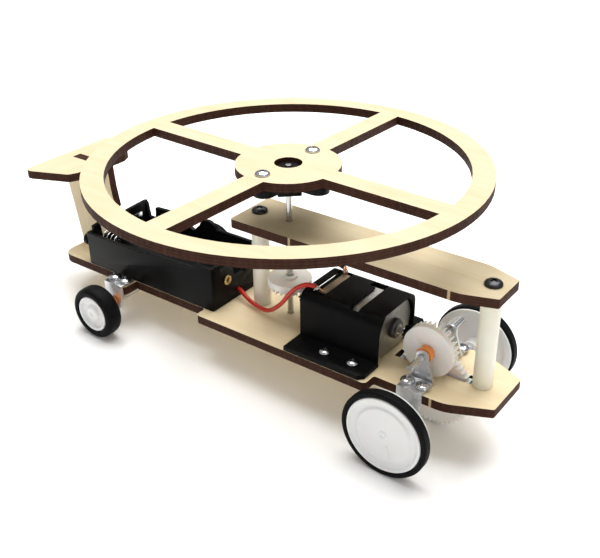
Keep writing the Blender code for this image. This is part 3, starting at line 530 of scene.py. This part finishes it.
def add_screws():
    """Every fastener stands for its CAD node and sits on the face that it holds."""
    rotor_turn = Matrix.Rotation(ROTOR_ANGLE, 4, "Z")
    kinds = {
        "rotor": screw_mesh("rotor_screw_shape", 2.35, 1.35, 1.0, 6.0),
        "housing": screw_mesh("housing_screw_shape", 1.9, 1.35, 0.85, 5.2, 0.9),
        "bracket": screw_mesh("bracket_screw_shape", 2.3, 1.4, 0.9, 4.4, 0.85),
        "plate": screw_mesh("plate_screw_shape", 2.7, 1.65, 1.1, 8.8, 0.9),
    }

    def put(node, kind, material, x, y, z, body="chassis", frame_turn=Matrix(), flip=False, twist=0.0):
        matrix = frame_turn @ at(x, y, z) @ Matrix.Rotation(math.radians(twist), 4, "Z")
        if flip:
            matrix = matrix @ DOWNWARD
        link(f"{node}_detail", kinds[kind], matrix, body, material, [node])

    for side, end in ((-1, "near"), (1, "far")):
        put(f"rotor_screw_{end}", "rotor", "screw", 0, side * 12.2, ROTOR_Z + PLY + 0.02, "rotor", rotor_turn,
            twist=25 + 30 * side)
        for row, x in (("rear", 24.7), ("front", 35.0)):
            put(f"housing_screw_{end}_{row}", "housing", "screw", x, side * 15.3, 1.67,
                twist=17 * side + x)
        for row, shift in (("rear", -1), ("front", 1)):
            put(f"front_bracket_{end}_screw_{row}", "bracket", "screw", FRONT_AXLE.x + 2.6 * shift,
                side * 12.3, 0.97, twist=40 * shift + 11 * side)
            put(f"rear_bracket_{end}_screw_{row}", "bracket", "screw", REAR_AXLE.x + 2.5 * shift,
                side * 18.9, 0.97, twist=20 * shift - 13 * side)
    for end, x in PILLARS:
        put(f"upper_{end}_screw", "plate", "black_screw", x, 0, UPPER_TOP + 0.02, twist=x)
        put(f"lower_{end}_screw", "plate", "black_screw", x, 0, -PLY - 0.02, flip=True, twist=x)


# --- running gear -------------------------------------------------------------------------------


def add_wheels():
    front, rear = at(*FRONT_AXLE), at(*REAR_AXLE)
    outer = 30.4
    disc = [(0, 29.4), (1.1, 29.4), (1.1, 24.2), (2.7, 24.2), (2.9, 28.0), (10.6, 28.1), (11.2, 26.5),
            (13.5, 26.4), (13.5, 26.85), (12.35, 27.0), (12.35, 30.05), (12.15, outer), (11.55, outer),
            (11.1, 29.75), (9.75, 29.45), (9.3, 29.5), (8.75, 30.0), (8.4, 30.05), (4.2, 29.85), (1.5, 29.9),
            (1.25, 30.15), (0.75, 30.15), (0.6, 29.9), (0, 29.9)]
    tyre = [(12.4, 27.15), (13.75, 27.15), (14.05, 27.35), (14.2, 27.75), (14.2, 29.75), (14.05, 30.1),
            (13.7, 30.28), (12.9, 30.25), (12.4, 30.0)]
    hub = [(0, 32.4), (1.1, 32.4), (1.1, 27.6), (2.4, 27.6), (2.5, 29.9), (5.3, 30.1), (5.3, 27.7),
           (6.55, 27.6), (6.55, 33.35), (6.35, 33.65), (5.95, 33.7), (5.7, 33.45), (5.45, 32.55),
           (4.6, 32.15), (3.2, 32.1),
           (2.75, 32.6), (2.6, 33.3), (2.2, 33.6), (0.9, 33.62), (0.75, 33.4), (0, 33.4)]
    rear_tyre = [(6.6, 27.7), (7.6, 27.5), (8.35, 27.62), (8.95, 28.1), (9.3, 28.9), (9.4, 29.9), (9.4, 31.7),
                 (9.3, 32.6), (8.95, 33.4), (8.35, 33.85), (7.6, 33.98), (7.0, 33.85), (6.6, 33.5)]
    for end, turn in (("near", AGAINST_Y), ("far", ALONG_Y)):
        lathed(f"front_wheel_{end}_disc", "white", disc, front @ turn, "front_axle_set",
               [f"front_wheel_{end}"], 96)
        lathed(f"front_tyre_{end}_ring", "rubber", tyre, front @ turn, "front_axle_set",
               [f"front_tyre_{end}"], 96, 0.1)
        lathed(f"rear_wheel_{end}_hub", "white", hub, rear @ turn, "rear_axle_set", [f"rear_wheel_{end}"], 80)
        lathed(f"rear_tyre_{end}_ring", "rubber", rear_tyre, rear @ turn, "rear_axle_set",
               [f"rear_tyre_{end}"], 80, 0.3)
        bush = [(1.08, 22.9), (2.1, 22.9), (2.1, 23.6), (1.75, 23.9), (1.75, 26.5), (2.1, 26.8), (2.1, 27.2),
                (1.08, 27.2)]
        lathed(f"rear_bush_{end}_detail", "orange", bush, rear @ turn, "rear_axle_set",
               [f"rear_bush_{end}"], 40)
        mark = box_mesh(f"front_wheel_{end}_mark", (3.6, -0.3, 29.7), (7.9, 0.3, 30.2))
        mark_turn = Matrix.Rotation(math.radians(-72), 4, "Z")
        link(f"front_wheel_{end}_mark", bevelled(mark, 0.08), front @ turn @ mark_turn,
             "front_axle_set", "white")
    add_rod("front_axle", "steel", 1.0, -29.2, 29.2, front @ ALONG_Y, "front_axle_set")
    add_rod("rear_axle", "steel", 1.0, -32.4, 32.4, rear @ ALONG_Y, "rear_axle_set")


def add_rod(node, material, radius, low, high, matrix, body):
    profile = [(0, low), (radius, low), (radius, high), (0, high)]
    lathed(f"{node}_detail", material, profile, matrix, body, [node], 32, 0.2)


def add_gears():
    for node in ("rotor_crown_gear", "drive_crown_gear", "axle_gear"):
        refined(node, "nylon", 0.07, 2)
    for node in ("front_pinion", "rear_pinion"):
        refined(node, "housing", 0.05, 1)
    motor_axis = at(z=MOTOR_Z) @ ALONG_X
    gear_axis = at(*GEAR_AXIS) @ ALONG_Y
    add_rod("rotor_shaft", "steel", 1.0, -2.6, 53.4, Matrix(), "rotor")
    add_rod("motor_shaft", "steel", 1.0, 4.7, 49.6, motor_axis, "motor_rotor")
    add_rod("gear_shaft", "steel", 1.0, -16.5, 16.5, gear_axis, "drive_gear")
    bush = [(1.08, -8.2), (2.5, -8.2), (2.5, -5.95), (1.08, -5.95)]
    lathed("gear_bush_detail", "orange", bush, gear_axis, "drive_gear", ["gear_bush"], 48, 0.2)


def add_frame_parts():
    for end, x in PILLARS:
        profile = [(1.5, 0.02), (3.0, 0.02), (3.0, 31.18), (1.5, 31.18)]
        lathed(f"{end}_pillar_detail", "milky", profile, at(x), "chassis", [f"{end}_pillar"], 56, 0.25)
    for row in ("front", "rear"):
        for end in ("near", "far"):
            refined(f"{row}_bracket_{end}", "zinc", 0.22, 3)
    refined("rotor_hub", "black", 0.35, 3)


# --- motor --------------------------------------------------------------------------------------


def add_motor():
    refined("motor_housing", "housing", 0.25, 3)
    refined("motor_can", "can", 0.7, 4)
    refined("motor_end_cap", "black", 0.3, 2)
    axis = at(z=MOTOR_Z) @ ALONG_X
    boss = [(1.35, 40.1), (3.25, 40.1), (3.25, 41.3), (2.7, 41.85), (2.05, 41.9), (1.9, 41.5), (1.35, 41.5)]
    lathed("motor_boss", "boss", boss, axis, "chassis", steps=48, soften=0.15)
    bearing = [(1.06, 41.5), (1.8, 41.5), (1.8, 42.0), (1.06, 42.0)]
    lathed("motor_bearing", "can", bearing, axis, "chassis", steps=40, soften=0.1)
    top = PLASTIC_TOP
    terminals = (("near", 15.7, -6.6), ("far", 16.9, 7.6))
    for end, x, y in terminals:
        tab = box_mesh(f"terminal_{end}", (x - 0.8, y - 0.25, 14.4), (x + 0.8, y + 0.25, top + 0.6))
        link(f"terminal_{end}", bevelled(tab, 0.08), Matrix(), "chassis", "solder")
        drop = [(0, -0.9), (0.75, -0.5), (0.95, 0.0), (0.7, 0.55), (0, 0.8)]
        blob = lathe_mesh(f"solder_{end}", drop, 24, 0.4)
        link(f"solder_{end}", blob, at(x, y, top + 0.5), "chassis", "solder")
    lining = box_mesh("window_lining", (14.45, -8.3, 15.75), (17.2, 8.7, 16.45))
    link("window_lining", bevelled(lining, 0.1), Matrix(), "chassis", "housing")
    strip = box_mesh("fibre_strip", (16.6, -6.6, top - 0.9), (19.2, 7.0, top - 0.15))
    link("fibre_strip", bevelled(strip, 0.12), Matrix(), "chassis", "fibre")
    loop = [(16.2, 7.4, 17.0), (16.4, 7.9, 18.6), (16.9, 7.0, 19.6), (17.6, 5.6, 19.3), (17.9, 5.2, 18.0),
            (17.3, 6.4, 17.4), (16.4, 7.6, 17.8), (16.7, 8.2, 19.0), (17.6, 7.0, 18.9), (17.4, 5.8, 17.2)]
    lead("copper_loop", loop, 0.22, "copper")
    tail = [(15.2, -6.8, 18.0), (15.9, -6.9, 18.2), (16.6, -6.5, 17.8), (17.3, -6.4, 17.2),
            (17.8, -5.9, 16.9)]
    lead("copper_tail", tail, 0.25, "copper")


# --- battery tray -------------------------------------------------------------------------------


def spring_curve(name, turns, big, small, length, matrix):
    """A conical battery spring along local Z."""
    curve = bpy.data.curves.new(name, "CURVE")
    curve.dimensions = "3D"
    curve.bevel_depth = 0.22 * MM
    curve.bevel_resolution = 2
    curve.use_fill_caps = True
    steps = 18 * turns
    spline = curve.splines.new("POLY")
    spline.points.add(steps)
    for i, point in enumerate(spline.points):
        t = i / steps
        radius = (big + (small - big) * t) * MM
        angle = 2 * math.pi * turns * t
        point.co = (radius * math.cos(angle), radius * math.sin(angle), length * t * MM, 1.0)
    obj = bpy.data.objects.new(name, curve)
    bpy.context.scene.collection.objects.link(obj)
    obj.matrix_world = CHASSIS @ matrix
    curve.materials.append(MATERIALS["screw"])
    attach(obj, "chassis")


def add_battery_tray():
    refined("battery_box", "black", 0.55, 3)
    for side, end in ((-1, "near"), (1, "far")):
        y = side * 7.2
        spring_end = -80.3 if side < 0 else -22.7
        turn = ALONG_X if side < 0 else Matrix.Rotation(math.radians(-90), 4, "Y")
        spring_curve(f"battery_spring_{end}", 4, 3.6, 1.6, 6.0, at(spring_end, y, 7.6) @ turn)
        plate_x = -22.9 if side < 0 else -80.3
        low, high = (plate_x - 0.2, y - 4.2, 3.0), (plate_x + 0.2, y + 4.2, 11.4)
        plate = box_mesh(f"battery_plate_{end}", low, high)
        link(f"battery_plate_{end}", bevelled(plate, 0.1), Matrix(), "chassis", "screw")
    lug = [(0, -84.6), (1.5, -84.6), (2.2, -84.1), (2.3, -82.0), (0, -82.0)]
    lathed("tray_lug", "black", lug, at(0, -13.2, 8.8) @ ALONG_X, "chassis", steps=40, soften=0.4)
    eyelet = [(0.75, -20.98), (1.5, -20.98), (1.75, -20.8), (1.7, -20.4), (1.35, -20.15), (1.0, -20.2),
              (0.75, -20.5)]
    lathed("battery_contact_detail", "brass", eyelet, at(0, -7.8, 9.2) @ ALONG_X, "chassis",
           ["battery_contact"], 40, 0.08)


# --- leads --------------------------------------------------------------------------------------

WIRE_R = 0.75
RED_ROUTE = [(-23.6, -1.8, 2.9), (-20.5, -2.0, 2.85), (-13.0, -5.0, 2.0), (-4.5, -7.2, 2.6), (2.4, -9.2, 8.0),
             (6.4, -9.6, 13.2), (9.2, -9.0, 16.6), (12.4, -7.8, 18.4), (15.2, -6.8, 18.2)]
BLACK_ROUTE = [(-23.6, 12.0, 10.2), (-20.4, 12.0, 10.4), (-13.0, 11.4, 12.6), (-5.0, 10.6, 14.8),
               (3.0, 9.8, 16.4), (9.6, 9.0, 18.4), (13.4, 8.4, 19.0), (16.4, 7.8, 18.6)]


def smooth_route(points, spacing):
    """Points close together on one smooth curve through the route's points."""
    points = [Vector(p) for p in points]
    padded = [2 * points[0] - points[1], *points, 2 * points[-1] - points[-2]]
    route = []
    for a, b, c, d in zip(padded, padded[1:], padded[2:], padded[3:]):
        steps = max(1, round((c - b).length / spacing))
        for i in range(steps):
            t = i / steps
            route.append(0.5 * (2 * b + (c - a) * t + (2 * a - 5 * b + 4 * c - d) * t**2
                                + (3 * b - a - 3 * c + d) * t**3))
    return [*route, points[-1]]


def lead(name, points, radius, material, nodes=()):
    curve = bpy.data.curves.new(name, "CURVE")
    curve.dimensions = "3D"
    curve.bevel_depth = radius * MM
    curve.bevel_resolution = 4
    curve.use_fill_caps = True
    route = smooth_route(points, 0.9)
    spline = curve.splines.new("POLY")
    spline.points.add(len(route) - 1)
    for point, place in zip(spline.points, route):
        point.co = (*(place * MM), 1.0)
    obj = bpy.data.objects.new(name, curve)
    bpy.context.scene.collection.objects.link(obj)
    obj.matrix_world = CHASSIS
    curve.materials.append(MATERIALS[material])
    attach(obj, "chassis")
    if nodes:
        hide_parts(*nodes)


def add_leads():
    lead("red_wire_detail", RED_ROUTE, WIRE_R, "red", ["red_wire"])
    lead("black_wire_detail", BLACK_ROUTE, WIRE_R, "black_wire", ["black_wire"])


# --- stage --------------------------------------------------------------------------------------


SKY = [(0.0, 0.14), (0.30, 0.30), (0.75, 0.60)]  # brightness of the studio from the horizon up
SOFTBOXES = [
    ("overhead", (-0.15, 0.35, 1.2), (0.0, 0.0, 0.0), (1.2, 1.2), 28.0),
    ("front_fill", (0.9, -0.5, 0.6), (0.0, 0.0, 0.03), (0.5, 0.5), 1.2),
]


def add_stage():
    bm = bmesh.new()
    bmesh.ops.create_grid(bm, x_segments=1, y_segments=1, size=6.0)
    mesh = bpy.data.meshes.new("floor")
    bm.to_mesh(mesh)
    bm.free()
    floor = bpy.data.objects.new("floor", mesh)
    bpy.context.scene.collection.objects.link(floor)
    n = Nodes("floor")
    mesh.materials.append(n.finish((0.93, 0.925, 0.915), 0.9, Specular_IOR_Level=0.05))

    world = bpy.data.worlds.new("studio")
    bpy.context.scene.world = world
    world.use_nodes = True
    tree = world.node_tree
    height = tree.nodes.new("ShaderNodeSeparateXYZ")
    tree.links.new(tree.nodes.new("ShaderNodeTexCoord").outputs["Generated"], height.inputs[0])
    sky = tree.nodes.new("ShaderNodeValToRGB")
    tree.links.new(height.outputs[2], sky.inputs[0])
    while len(sky.color_ramp.elements) < len(SKY):
        sky.color_ramp.elements.new(0.5)
    for element, (position, grey) in zip(sky.color_ramp.elements, SKY):
        element.position = position
        element.color = (grey, grey, grey, 1.0)
    tree.links.new(sky.outputs[0], tree.nodes["Background"].inputs["Color"])
    tree.nodes["Background"].inputs["Strength"].default_value = 1.0

    for name, place, target, size, power in SOFTBOXES:
        data = bpy.data.lights.new(name, "AREA")
        data.shape = "RECTANGLE"
        data.size, data.size_y = size
        data.energy = power
        light = bpy.data.objects.new(name, data)
        bpy.context.scene.collection.objects.link(light)
        light.location = place
        light.rotation_euler = (Vector(target) - Vector(place)).to_track_quat("-Z", "Y").to_euler()
    bpy.context.scene.view_settings.view_transform = "Standard"
    bpy.context.scene.view_settings.look = "None"


add_camera()
add_wood()
add_screws()
add_wheels()
add_gears()
add_frame_parts()
add_motor()
add_battery_tray()
add_leads()
add_stage()
